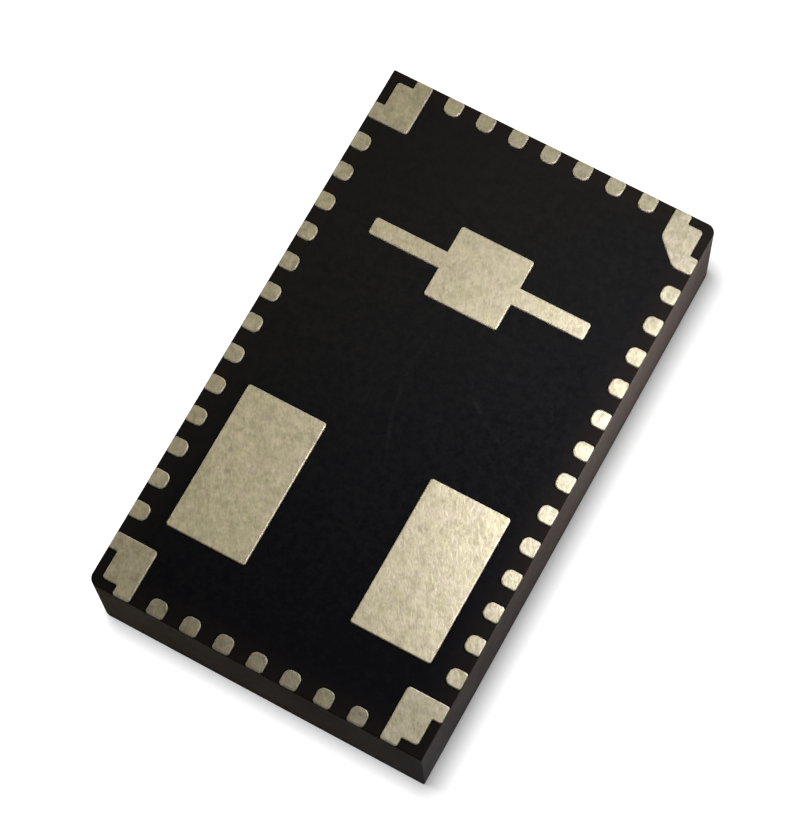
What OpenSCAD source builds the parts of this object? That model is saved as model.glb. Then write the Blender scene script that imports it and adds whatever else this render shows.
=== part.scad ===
// Moulded step-down power module with a 47-land leadframe, lying on its cap with the lands up.
// The origin is the middle of the cap face. +Z points to the lands, +Y runs along the long side,
// and land 1, the chamfered one, lies in the corner at +X +Y.

/* [Body] */
// Width of the moulded body
body_w = 9; // [9:0.1:11]
// Length of the moulded body
body_l = 15; // [15:0.1:18]
// Height over the lands
body_h = 2.8; // [2.3:0.1:3.6]
// Height by which the lands stand proud of the moulding
land_proud = 0.04; // [0.01:0.01:0.08]
// Radius of the two worn upright corners
worn_corner_r = 0.25; // [0.05:0.05:0.4]

/* [Edge lands] */
// Distance from one edge land to the next
land_pitch = 0.9; // [0.75:0.01:0.95]
// Width of an edge land, along the body's edge
land_w = 0.45; // [0.36:0.01:0.55]
// Length of an edge land, in from the body's edge
land_l = 0.43; // [0.36:0.01:0.52]
// Distance from the body's edge to the lands
edge_gap = 0.02; // [0.01:0.01:0.06]
// Radius of an edge land's inner corners
land_inner_r = 0.17; // [0.05:0.01:0.17]
// Radius of an edge land's outer corners
land_outer_r = 0.07; // [0.03:0.01:0.12]
// Depth of the step in each corner land, in from the body's edge
corner_step = 0.26; // [0.1:0.01:0.3]
// Length of the chamfer on land 1
key_chamfer = 0.6; // [0.2:0.05:0.7]

/* [Large lands] */
// Width of each of the two power lands
power_land_w = 2.15; // [1.8:0.05:2.4]
// Length of each of the two power lands
power_land_l = 4; // [3:0.1:4.8]
// Distance from the body's middle line to the middle of a power land
power_land_x = 2.5; // [2.3:0.05:2.7]
// Distance from the body's middle to the middle of the power lands, towards lands 16 to 22
power_land_y = 3.4; // [3.2:0.05:3.6]
// Side of the square thermal land
thermal_land = 2; // [1.6:0.05:2.4]
// Distance between the far ends of the thermal land's two arms
arm_span = 5.92; // [5:0.02:6.4]
// Width of the arms
arm_w = 0.47; // [0.3:0.01:0.6]

/* [Leadframe] */
// Thickness of the copper
frame_t = 0.2; // [0.15:0.01:0.25]
// Thickness that is left where the copper is etched from the land side
etched_t = 0.1; // [0.06:0.01:0.12]
// Width of the etched rim around a large land
etched_rim = 0.15; // [0.1:0.01:0.25]
// Gap between two neighbouring pieces of etched copper
etched_gap = 0.25; // [0.15:0.01:0.3]
// Distance from the body's edge to the etched copper
etched_inset = 0.2; // [0.12:0.01:0.3]
// Width of a terminal's etched finger
finger_w = 0.4; // [0.3:0.01:0.42]
// Gap between the paddle and the nearest fingers
finger_gap = 0.3; // [0.2:0.01:0.35]
// Width of the two necks that reach from the power copper towards the die
neck_w = 1.3; // [1.2:0.05:1.4]

/* [Inductor] */
// Width of the core, from terminal to terminal
core_w = 6.8; // [6:0.1:7]
// Length of the core
core_l = 6.2; // [5.6:0.1:6.4]
// Thickness of the moulding over the core
core_cover = 0.4; // [0.2:0.05:0.6]
// Thickness of the clip terminals
clip_t = 0.12; // [0.08:0.01:0.15]
// Width of the clip terminals
clip_w = 4.2; // [3.4:0.1:4.3]
// Length of a clip terminal's foot
clip_foot = 1.7; // [1.2:0.1:2]
// Radius of the winding's eye
coil_r = 1.2; // [0.9:0.05:1.3]
// Width of the flat wire, edge to edge
coil_wire_w = 1; // [0.7:0.05:1.1]
// Thickness of the flat wire
coil_wire_t = 0.18; // [0.1:0.01:0.2]
// Gap between two turns
coil_gap = 0.06; // [0.03:0.01:0.08]
// Number of turns
coil_turns = 5; // [3:1:5]

/* [Die and wires] */
// Width of the die
die_w = 2.9; // [2.4:0.1:3]
// Length of the die
die_l = 2.6; // [2.4:0.1:2.8]
// Thickness of the die
die_t = 0.2; // [0.15:0.01:0.3]
// Radius of a signal bond wire
signal_wire_r = 0.015; // [0.01:0.001:0.02]
// Radius of a power bond wire
power_wire_r = 0.025; // [0.02:0.001:0.03]
// Depth of a wire's arch below the straight line between its ends
wire_arch = 0.28; // [0.22:0.01:0.35]

/* [Chips] */
// Length of a chip capacitor or resistor
chip_l = 1; // [0.95:0.01:1.05]
// Width of a chip
chip_w = 0.5; // [0.4:0.01:0.55]
// Height of a chip capacitor
capacitor_h = 0.5; // [0.3:0.01:0.6]
// Height of a chip resistor
resistor_h = 0.35; // [0.25:0.01:0.45]
// Length of each metal end of a chip
chip_end = 0.25; // [0.15:0.01:0.3]
// Thickness of the metal ends
chip_end_t = 0.015; // [0.01:0.001:0.03]
// Thickness of every solder joint and of the die attach layer
joint_t = 0.03; // [0.02:0.01:0.05]

/* [Hidden] */
$fn = 48;

// Lands are numbered 1 to 44 round the edge, from the chamfered corner land down the +X side.
// Sides are numbered 0 for +X, 1 for -Y, 2 for -X and 3 for +Y, and each begins with its corner land.
LONG_LANDS = 13;
SHORT_LANDS = 7;
MIDDLE_LAND = 1 + (LONG_LANDS + 1) / 2;
MIDDLE_STEP = (LONG_LANDS + SHORT_LANDS + 2) / 2;
CORNERS = [1, 15, 23, 37];
PHASE_LANDS = [10, 11, 12, 13, 14, 16];
GROUND_LANDS = [17, 18, 19, 20, 21];
OUTPUT_LANDS = [22, 24, 25, 26, 27, 28];
INPUT_LANDS = [29, 30, 31];
ARM_LANDS = [4, 34];
SIGNAL_LANDS = [2, 3, 5, 6, 7, 8, 9, 32, 33, 35, 36, 38, 39, 40, 41, 42, 43, 44];
BOOT_LAND = 7;
UNWIRED_LANDS = [8, 9];
WIRED_LANDS = [for (k = SIGNAL_LANDS) if (!among(k, UNWIRED_LANDS)) k];

// Lands whose fingers reach the die, stop beside the bond row, or stop short of their neighbours
DIE_SIDE_LANDS = [3, 5, 33, 35];
ROW_SIDE_LANDS = [2, 6, BOOT_LAND, 32, 36];
OUTER_LANDS = [38, 44];

half_w = body_w / 2;
half_l = body_l / 2;
frame_z = body_h - frame_t;
face_z = body_h - land_proud;
part_z = frame_z - joint_t;
die_z = part_z - die_t;

// The etched copper's outer limits, and the corner lands' inner edges, which lie on the land grid
sheet_x = half_w - etched_inset;
sheet_y = half_l - etched_inset;
corner_x = (SHORT_LANDS + 1) / 2 * land_pitch - land_w / 2;
corner_y = (LONG_LANDS + 1) / 2 * land_pitch - land_w / 2;
corner_land_r = 0.1;
corner_tab_r = 0.04;

// The thermal land lies level with the arms' lands, four places up from the middle of the side
thermal_y = 4 * land_pitch;
die_rim_x = 0.3;
die_rim_y = 0.25;
paddle_w = die_w + 2 * die_rim_x;
paddle_l = die_l + 2 * die_rim_y;
large_land_r = 0.07;

// The power lands' etched copper, and the power ground's spine between them
power_in_x = power_land_x - power_land_w / 2 - etched_rim;
power_top_y = -power_land_y + power_land_l / 2 + etched_rim;
power_low_y = -power_land_y - power_land_l / 2 - etched_rim;
spine_x = power_in_x - etched_gap;
bond_top_y = thermal_y - paddle_l / 2 - finger_gap;
neck_x = power_in_x + neck_w;
input_low_y = power_top_y + etched_gap;
input_top_y = land_pitch + finger_w;
ground_bar_x = 2 * land_pitch + land_w / 2;
ground_bar_y = power_low_y - 2 * etched_gap;
low_sheet_x = 3 * land_pitch - land_w / 2;

// How far in from the edge each terminal's finger reaches, as a distance from the body's middle
near_x = paddle_w / 2 + finger_gap;
bond_row_x = neck_x + finger_gap;
far_x = bond_row_x + etched_gap;
near_y = thermal_y + paddle_l / 2 + finger_gap;
outer_y = near_y + finger_gap;

// The chips that bridge two fingers stand this far in from the edge lands' inner ends
chip_setback = 0.35;
chip_row_x = half_w - edge_gap - land_l - chip_setback - chip_w / 2;
chip_row_y = half_l - edge_gap - land_l - chip_setback - chip_w / 2;

// The core hangs below the power lands on its two clips
core_y = -power_land_y;
core_top_z = part_z - clip_t;
core_h = core_top_z - core_cover;
core_edge_r = 0.25;
clip_rise = 0.2;
coil_rise = coil_wire_t + coil_gap;
coil_steps = 24;

// Each bond wire ends a little below the surface that it is bonded to, inside a small round foot
ball_r = 0.05;
ball_h = 0.05;
wire_end = 0.02;
bond_inset = 0.12;
bond_row_y = bond_top_y - bond_inset;
bond_step = 0.28;

// Signal pads keep this far from the die's corner pads, and lie this much closer together than the lands
pad_inset = 0.15;
pad_spread = 0.45;
POWER_WIRES = 4;
POWER_BANKS = 3;
die_pad_step = (die_w - 2 * bond_inset) / (POWER_WIRES * POWER_BANKS - 1);

// The input chips stand in two rows, one beside the core and one beside the bond row
chip_clear = 0.1;
input_chip_low = core_y + core_l / 2 + chip_clear + chip_w / 2;
input_chip_high = bond_row_y - ball_r - chip_clear - chip_w / 2;
input_chip_x = (spine_x + power_in_x) / 2;
corner_ledge_w = 0.15;

// The boot capacitor bridges the phase neck and its land's finger, level with the land and clear of the row
boot_chip_x = (neck_x + bond_row_x) / 2;
boot_chip_y = min(land_pitch, input_chip_high);

// How far one flat shape reaches into the next of the same piece
lap = 1;

// Chips: name, middle x, middle y, turn in degrees, height and colour
CAPACITOR_COLOUR = "tan";
RESISTOR_COLOUR = "darkslategray";
CHIPS = [
    ["input_capacitor_1", -input_chip_x, input_chip_low, 0, capacitor_h, CAPACITOR_COLOUR],
    ["input_capacitor_2", -input_chip_x, input_chip_high, 0, capacitor_h, CAPACITOR_COLOUR],
    ["boot_capacitor", boot_chip_x, boot_chip_y, 0, capacitor_h, CAPACITOR_COLOUR],
    ["soft_start_capacitor", -land_pitch / 2, chip_row_y, 0, capacitor_h, CAPACITOR_COLOUR],
    ["compensation_capacitor", 1.5 * land_pitch, chip_row_y, 0, capacitor_h, CAPACITOR_COLOUR],
    ["bypass_capacitor", chip_row_x, 2.5 * land_pitch, 90, capacitor_h, CAPACITOR_COLOUR],
    ["frequency_resistor", -2.5 * land_pitch, chip_row_y, 0, resistor_h, RESISTOR_COLOUR],
    ["feedback_resistor", -chip_row_x, 2.5 * land_pitch, 90, resistor_h, RESISTOR_COLOUR],
    ["compensation_resistor", -chip_row_x, 5.5 * land_pitch, 90, resistor_h, RESISTOR_COLOUR],
    ["enable_resistor", chip_row_x, 5.5 * land_pitch, 90, resistor_h, RESISTOR_COLOUR],
];

function among(k, lands) = len(search(k, lands)) > 0;
function terminal_name(k) = str("terminal_", k < 10 ? "0" : "", k);
TERMINALS = concat([1, 37], SIGNAL_LANDS);

// Which side a land is on, how far that side lies from the middle, and where the land is along it
function side(k) = k < CORNERS[1] ? 0 : k < CORNERS[2] ? 1 : k < CORNERS[3] ? 2 : 3;
function reach(k) = side(k) % 2 == 0 ? half_w : half_l;
function along(k) = (MIDDLE_LAND + MIDDLE_STEP * side(k) - k) * land_pitch;

// A point in a land's own frame, which has +X out of the body, turned into the body's frame
function placed(k, out) = let (a = -90 * side(k), s = along(k))
    [out * cos(a) - s * sin(a), out * sin(a) + s * cos(a)];

module at_land(k) {
    rotate([0, 0, -90 * side(k)])
        translate([reach(k), along(k), 0])
            children();
}

// A plate with its own radius at each end, drawn from x0 to x1 and centred on the X axis
module rounded_plate(x0, x1, w, r0, r1) {
    h = w / 2;
    polygon([
        [x0, -h + r0], [x0 + r0, -h], [x1 - r1, -h], [x1, -h + r1],
        [x1, h - r1], [x1 - r1, h], [x0 + r0, h], [x0, h - r0]
    ]);
    for (s = [-1, 1]) {
        translate([x0 + r0, s * (h - r0)]) circle(r0);
        translate([x1 - r1, s * (h - r1)]) circle(r1);
    }
}

// A plain rectangle between two corners
module sheet(low, high) {
    translate(low) square(high - low);
}

// Copper of full thickness, which shows as a land, and copper etched back from the land side
module full_copper() {
    translate([0, 0, frame_z]) linear_extrude(frame_t) children();
}
module etched_copper() {
    translate([0, 0, frame_z]) linear_extrude(etched_t) children();
}

module edge_land(k) {
    at_land(k) full_copper()
        rounded_plate(-edge_gap - land_l, -edge_gap, land_w, land_inner_r, land_outer_r);
}

// The etched finger of a land, which ends at the given distance from the body's middle
module finger(k, tip) {
    at_land(k) etched_copper()
        sheet([tip - reach(k), -finger_w / 2], [-edge_gap - land_l / 2, finger_w / 2]);
}

// A corner land in the +X +Y corner: a plate stepped back from both edges, with a tab out to each
module corner_plan(keyed) {
    step_x = half_w - corner_step;
    step_y = half_l - corner_step;
    out_x = half_w - edge_gap;
    out_y = half_l - edge_gap;
    trim = keyed ? min(key_chamfer, step_x - corner_x) : corner_land_r;
    polygon([
        [corner_x, corner_y + trim], [corner_x + trim, corner_y], [step_x, corner_y],
        [step_x, step_y], [corner_x, step_y]
    ]);
    if (!keyed)
        translate([corner_x + corner_land_r, corner_y + corner_land_r]) circle(corner_land_r);
    translate([0, corner_y + land_w / 2])
        rounded_plate(step_x - corner_tab_r * 2, out_x, land_w, corner_tab_r, corner_tab_r);
    translate([corner_x + land_w / 2, 0]) rotate(90)
        rounded_plate(step_y - corner_tab_r * 2, out_y, land_w, corner_tab_r, corner_tab_r);
}

module at_corner(k) {
    flip_x = k == CORNERS[2] || k == CORNERS[3] ? 1 : 0;
    flip_y = k == CORNERS[1] || k == CORNERS[2] ? 1 : 0;
    mirror([flip_x, 0, 0]) mirror([0, flip_y, 0]) children();
}

module corner_land(k) {
    at_corner(k) full_copper() corner_plan(k == CORNERS[0]);
}

// The etched ledge that anchors a corner land which stands alone
module corner_ledge(k) {
    at_corner(k) etched_copper()
        sheet([corner_x - corner_ledge_w, corner_y - corner_ledge_w], [sheet_x, sheet_y]);
}

module ground_paddle() {
    color("darkkhaki") {
        translate([0, thermal_y, 0]) {
            full_copper() {
                rounded_plate(-thermal_land / 2, thermal_land / 2, thermal_land, large_land_r, large_land_r);
                rounded_plate(-arm_span / 2, arm_span / 2, arm_w, large_land_r, large_land_r);
            }
            etched_copper() sheet([-paddle_w / 2, -paddle_l / 2], [paddle_w / 2, paddle_l / 2]);
        }
        for (k = ARM_LANDS) {
            edge_land(k);
            finger(k, arm_span / 2 - 0.1);
        }
    }
}

// The etched copper under one power land, from the spine out to the edge lands and down to the corner
module power_sheet() {
    sheet([power_in_x, power_low_y], [sheet_x, power_top_y]);
    sheet([low_sheet_x, -sheet_y], [sheet_x, power_low_y + lap]);
}

module power_land_plan() {
    translate([power_land_x, -power_land_y]) rotate(90)
        rounded_plate(-power_land_l / 2, power_land_l / 2, power_land_w, large_land_r, large_land_r);
}

module phase_land() {
    color("darkkhaki") {
        full_copper() power_land_plan();
        etched_copper() {
            power_sheet();
            sheet([power_in_x, power_top_y - lap], [neck_x, bond_top_y]);
        }
        for (k = PHASE_LANDS) edge_land(k);
        corner_land(CORNERS[1]);
    }
}

module output_land() {
    color("darkkhaki") {
        mirror([1, 0, 0]) {
            full_copper() power_land_plan();
            etched_copper() power_sheet();
        }
        for (k = OUTPUT_LANDS) edge_land(k);
        corner_land(CORNERS[2]);
    }
}

module power_ground_land() {
    color("darkkhaki") {
        etched_copper() {
            sheet([-ground_bar_x, -sheet_y], [ground_bar_x, ground_bar_y]);
            sheet([-spine_x, -sheet_y], [spine_x, bond_top_y]);
        }
        for (k = GROUND_LANDS) edge_land(k);
    }
}

module input_land() {
    color("darkkhaki") {
        etched_copper() {
            sheet([-sheet_x, input_low_y], [-power_in_x, input_top_y]);
            sheet([-neck_x, input_low_y], [-power_in_x, bond_top_y]);
        }
        for (k = INPUT_LANDS) edge_land(k);
    }
}

// Where a signal terminal's finger ends: beside the die, or short of the copper in its way
function finger_tip(k) =
    among(k, DIE_SIDE_LANDS) ? near_x :
    among(k, ROW_SIDE_LANDS) ? bond_row_x :
    among(k, UNWIRED_LANDS) ? far_x :
    among(k, OUTER_LANDS) ? outer_y : near_y;

module terminal(k) {
    color("darkkhaki")
        if (k == CORNERS[0] || k == CORNERS[3]) {
            corner_land(k);
            corner_ledge(k);
        } else {
            edge_land(k);
            finger(k, finger_tip(k));
        }
}

// The core is a moulded block with its four upright edges rounded
module core_block() {
    translate([0, core_y, core_cover]) linear_extrude(core_h)
        rounded_plate(-core_w / 2, core_w / 2, core_l, core_edge_r, core_edge_r);
}

module inductor_core() {
    color("dimgray") difference() {
        core_block();
        winding();
    }
}

// One cross-section of the flat wire, at an angle round the coil, a height up it and a shift along X
WIRE_SECTION = [[0, 0], [coil_wire_w, 0], [coil_wire_w, coil_wire_t], [0, coil_wire_t]];
function wire_ring(a, z, dx) = [for (p = WIRE_SECTION)
    [(coil_r + p[0]) * cos(a) + dx, (coil_r + p[0]) * sin(a), z + p[1]]];

// Edge-wound coil: both tails leave along X, one to each clip, and the turns rise in between
module winding() {
    n = coil_turns * coil_steps;
    height = coil_turns * coil_rise + coil_wire_t;
    rings = concat(
        [wire_ring(-90, 0, -core_w / 2)],
        [for (i = [0:n]) wire_ring(-90 + 360 * i / coil_steps, i * coil_rise / coil_steps, 0)],
        [wire_ring(-90, n * coil_rise / coil_steps, core_w / 2)]
    );
    last = len(rings) - 1;
    sides = [for (i = [0:last - 1]) for (j = [0:3])
        let (a = 4 * i + j, b = 4 * i + (j + 1) % 4) each [[a, b, b + 4], [a, b + 4, a + 4]]];
    translate([0, core_y, core_cover + (core_h - height) / 2])
        polyhedron(
            points = [for (r = rings) each r],
            faces = concat([[3, 2, 1, 0]], sides, [[for (j = [0:3]) 4 * last + j]])
        );
}

module inductor_winding() {
    color("peru") winding();
}

// A clip terminal on the +X side: up the core's side and in over its top as a foot
module clip() {
    translate([0, core_y + clip_w / 2, 0]) rotate([90, 0, 0]) linear_extrude(clip_w)
        polygon([
            [core_w / 2, core_cover + clip_rise], [core_w / 2 + clip_t, core_cover + clip_rise],
            [core_w / 2 + clip_t, part_z], [core_w / 2 + clip_t - clip_foot, part_z],
            [core_w / 2 + clip_t - clip_foot, core_top_z], [core_w / 2, core_top_z]
        ]);
}

module inductor_phase_clip() {
    color("silver") clip();
}

module inductor_output_clip() {
    color("silver") mirror([1, 0, 0]) clip();
}

module converter_die() {
    color("slategray") translate([-die_w / 2, thermal_y - die_l / 2, die_z]) cube([die_w, die_l, die_t]);
}

module die_attach() {
    color("lightgray") translate([-die_w / 2, thermal_y - die_l / 2, part_z]) cube([die_w, die_l, joint_t]);
}

// A chip along X: a ceramic body between two slightly larger metal ends, hung below the copper
module chip(h) {
    for (s = [-1, 1])
        translate([s * (chip_l - chip_end) / 2, 0, part_z - h / 2])
            cube([chip_end, chip_w, h], center = true);
    translate([0, 0, part_z - h / 2])
        cube([chip_l - chip_end, chip_w - 2 * chip_end_t, h - 2 * chip_end_t], center = true);
}

module placed_chip(c) {
    color(c[5]) translate([c[1], c[2], 0]) rotate([0, 0, c[3]]) chip(c[4]);
}

module solder_joints() {
    color("gainsboro") {
        for (c = CHIPS) translate([c[1], c[2], part_z]) rotate([0, 0, c[3]])
            for (s = [-1, 1])
                translate([s * (chip_l - chip_end) / 2 - chip_end / 2, -chip_w / 2, 0])
                    cube([chip_end, chip_w, joint_t]);
        foot_x = core_w / 2 + clip_t - clip_foot / 2;
        for (s = [-1, 1])
            translate([s * foot_x - clip_foot / 2, core_y - clip_w / 2, part_z])
                cube([clip_foot, clip_w, joint_t]);
    }
}

// A wire from a point on the die to a point on the copper: a ball at one end, a stitch at the other,
// and between them one arc that dips below the straight line by the named arch
module bond_wire(from, to, r) {
    run = norm(to - from);
    z0 = die_z - wire_end;
    z1 = frame_z - wire_end;
    chord = norm([run, z1 - z0]);
    radius = (chord * chord / 4 + wire_arch * wire_arch) / (2 * wire_arch);
    tilt = atan2(z1 - z0, run);
    rise = radius - wire_arch;
    sweep = 2 * asin(chord / (2 * radius));
    centre = [chord / 2 * cos(tilt) - rise * sin(tilt), chord / 2 * sin(tilt) + rise * cos(tilt), 0];
    translate([from[0], from[1], z0])
        rotate([0, 0, atan2(to[1] - from[1], to[0] - from[0])])
            rotate([90, 0, 0])
                translate(centre)
                    rotate([0, 0, tilt - 90 - sweep / 2])
                        rotate_extrude(angle = sweep) translate([radius, 0]) circle(r);
    translate([from[0], from[1], die_z - ball_h]) cylinder(r = ball_r, h = ball_h);
    translate([to[0], to[1], frame_z - ball_h]) cylinder(r = ball_r, h = ball_h);
}

// Where a signal wire leaves the die: along the edge that faces its terminal
function die_pad(k) =
    let (
        x = die_w / 2 - bond_inset,
        y = die_l / 2 - bond_inset,
        p = placed(k, 0),
        level = (p[1] - thermal_y) * pad_spread
    )
    side(k) == 3 ? [p[0] / (3 * land_pitch) * (x - pad_inset), thermal_y + y]
    : [side(k) == 0 ? x : -x, thermal_y + max(pad_inset - y, min(y - pad_inset, level))];

// Where it ends on the finger: next to the tip, or well past the chip that sits on the tip
function stitch(k) = placed(k, k == BOOT_LAND ? bond_row_x + chip_l : finger_tip(k) + bond_inset);

module signal_bond_wires() {
    color("gold") for (k = WIRED_LANDS) bond_wire(die_pad(k), stitch(k), signal_wire_r);
}

// One bank of wires each to the input neck, the ground spine and the phase neck, from the die's lower edge
module power_bond_wires() {
    pad_y = thermal_y - die_l / 2 + bond_inset;
    neck_mid = (power_in_x + neck_x) / 2;
    color("orange") for (bank = [-1:1]) for (i = [0:POWER_WIRES - 1]) {
        n = i - (POWER_WIRES - 1) / 2;
        bond_wire(
            [(bank * POWER_WIRES + n) * die_pad_step, pad_y],
            [bank * neck_mid + n * bond_step, bond_row_y],
            power_wire_r
        );
    }
}

// The block's outline: sawn square, with two opposite upright corners worn round
module body_plan() {
    r = worn_corner_r;
    polygon([
        [-half_w, -half_l + r], [-half_w + r, -half_l], [half_w, -half_l],
        [half_w, half_l - r], [half_w - r, half_l], [-half_w, half_l]
    ]);
    for (s = [-1, 1]) translate([s * (half_w - r), s * (half_l - r)]) circle(r);
}

// Everything that the moulding flows round
module inner_parts() {
    ground_paddle();
    phase_land();
    output_land();
    power_ground_land();
    input_land();
    for (k = TERMINALS) terminal(k);
    core_block();
    inductor_phase_clip();
    inductor_output_clip();
    converter_die();
    die_attach();
    for (c = CHIPS) placed_chip(c);
    solder_joints();
    signal_bond_wires();
    power_bond_wires();
}

module mould_body() {
    color([0.1, 0.09, 0.09]) difference() {
        linear_extrude(face_z) body_plan();
        inner_parts();
    }
}

mould_body();
ground_paddle();
phase_land();
output_land();
power_ground_land();
input_land();
for (k = TERMINALS) terminal(k);
inductor_core();
inductor_winding();
inductor_phase_clip();
inductor_output_clip();
converter_die();
die_attach();
signal_bond_wires();
power_bond_wires();
solder_joints();
for (c = CHIPS) placed_chip(c);
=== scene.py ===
"""A moulded step-down power module, lying on its cap with its solder lands up.

The bench works in millimetres, and a finished piece is brought to metres with its object at the origin.
+Z points to the lands, +Y runs along the long side, and land 1 lies in the corner at +X +Y.
"""

import logging
import math
from collections.abc import Callable, Iterator
from contextlib import contextmanager
from dataclasses import dataclass, field
from enum import Enum, IntEnum
from functools import partial

import bmesh
import bpy
from mathutils import Matrix, Vector


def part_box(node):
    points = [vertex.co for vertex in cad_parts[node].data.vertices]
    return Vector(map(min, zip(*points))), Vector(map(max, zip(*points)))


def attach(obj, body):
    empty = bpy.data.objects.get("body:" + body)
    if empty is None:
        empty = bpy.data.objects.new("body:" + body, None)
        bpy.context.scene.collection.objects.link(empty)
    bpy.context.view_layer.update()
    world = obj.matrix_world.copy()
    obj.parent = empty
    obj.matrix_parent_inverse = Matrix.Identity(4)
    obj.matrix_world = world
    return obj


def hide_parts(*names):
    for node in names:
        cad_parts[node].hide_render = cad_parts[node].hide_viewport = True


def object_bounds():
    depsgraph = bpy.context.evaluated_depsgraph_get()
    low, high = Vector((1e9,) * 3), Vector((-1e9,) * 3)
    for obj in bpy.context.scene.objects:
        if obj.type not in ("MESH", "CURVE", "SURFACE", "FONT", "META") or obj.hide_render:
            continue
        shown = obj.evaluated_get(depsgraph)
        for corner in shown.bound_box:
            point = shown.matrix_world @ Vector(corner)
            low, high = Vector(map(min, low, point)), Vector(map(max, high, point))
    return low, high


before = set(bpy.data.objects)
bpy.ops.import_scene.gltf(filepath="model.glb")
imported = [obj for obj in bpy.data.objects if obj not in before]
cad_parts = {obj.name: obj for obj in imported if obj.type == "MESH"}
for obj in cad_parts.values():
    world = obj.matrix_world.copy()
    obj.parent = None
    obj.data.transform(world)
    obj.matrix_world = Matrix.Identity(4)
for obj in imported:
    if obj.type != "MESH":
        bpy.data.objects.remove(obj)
CAD_BOX = [[float(v) for v in corner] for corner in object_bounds()]

METRES = 0.001  # metres in a millimetre
STRAIGHT = 0.99  # the cosine from which a direction counts as straight along an axis
NEAR = 1e-4  # the distance within which two places count as the same, in millimetres
MERGE = 1e-5  # the distance within which two points are merged, in millimetres

log = logging.getLogger("power_module")

Element = bmesh.types.BMEdge | bmesh.types.BMFace
Test = Callable[[Element], bool]
Pair = tuple[float, float]
Rect = tuple[Pair, Pair]
Point = tuple[float, float, float]
Colour = tuple[float, float, float]
Socket = bpy.types.NodeSocket


class Pick(Enum):
    """What a tool of the edit mode works on."""

    EDGES = "EDGE"
    FACES = "FACE"


class Join(Enum):
    """What a solid does to another one."""

    ADD = "UNION"
    CUT = "DIFFERENCE"


class Side(IntEnum):
    """The body's four sides, in the order in which the lands are numbered."""

    RIGHT = 0
    LOWER = 1
    LEFT = 2
    UPPER = 3


class LargeLand(Enum):
    """The lands inside the ring of edge lands."""

    THERMAL = "thermal"
    RIGHT_POWER = "right power"
    LEFT_POWER = "left power"


def take_up(thing: bpy.types.Object) -> None:
    """Select one object alone and make it the active one.

    Args:
        thing: The object.
    """
    bpy.ops.object.select_all(action="DESELECT")
    thing.select_set(True)
    bpy.context.view_layer.objects.active = thing


def box_mm(node: str) -> tuple[Vector, Vector]:
    """Give a CAD node's lowest and highest corner in millimetres."""
    low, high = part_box(node)
    return Vector(low) / METRES, Vector(high) / METRES


def is_upright(edge: bmesh.types.BMEdge) -> bool:
    """Say whether an edge runs along Z."""
    run = edge.verts[1].co - edge.verts[0].co
    return abs(run.z) > STRAIGHT * run.length


def is_at_height(edge: bmesh.types.BMEdge, height: float) -> bool:
    """Say whether both ends of an edge lie at one height."""
    return all(abs(v.co.z - height) < NEAR for v in edge.verts)


def upright_at(x: float | None = None, y: float | None = None) -> Test:
    """Make a test for the upright edges at one place.

    Args:
        x: The place along X, or None for any.
        y: The place along Y, or None for any.

    Returns:
        The test.
    """

    def test(edge: bmesh.types.BMEdge) -> bool:
        """Compare the edge's foot with the place."""
        pairs = zip(edge.verts[0].co, (x, y))
        return is_upright(edge) and all(wanted is None or abs(v - wanted) < NEAR for v, wanted in pairs)

    return test


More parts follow.
